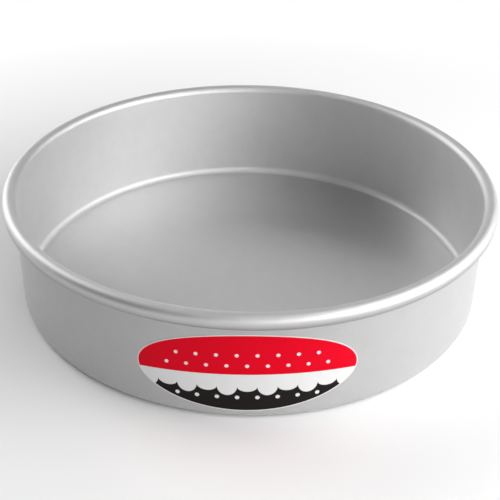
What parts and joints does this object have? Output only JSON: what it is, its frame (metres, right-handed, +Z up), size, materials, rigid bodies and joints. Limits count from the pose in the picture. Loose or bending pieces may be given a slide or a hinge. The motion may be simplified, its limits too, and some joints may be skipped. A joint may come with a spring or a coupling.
{
  "type": "round cake tin",
  "caption": "Round straight-sided cake tin of satin anodised aluminium sheet with a rounded base corner, an outward rolled rim and an oval stick-on label on its wall.",
  "frame": {"origin": "centre of the flat base, on the surface that the tin stands on", "axes": "+Z up along the tin's axis, out of its mouth; the label faces -Y"},
  "size_m": [0.2154, 0.2154, 0.0508],
  "materials": {
    "anodised_aluminium": "satin, clear anodised",
    "label_adhesive": "tacky clear film",
    "label_print": "satin print in red, black and white"
  },
  "bodies": {
    "root": {"pan_shell": "anodised_aluminium", "label_adhesive": "label_adhesive", "label_face": "label_print"}
  },
  "joints": []
}
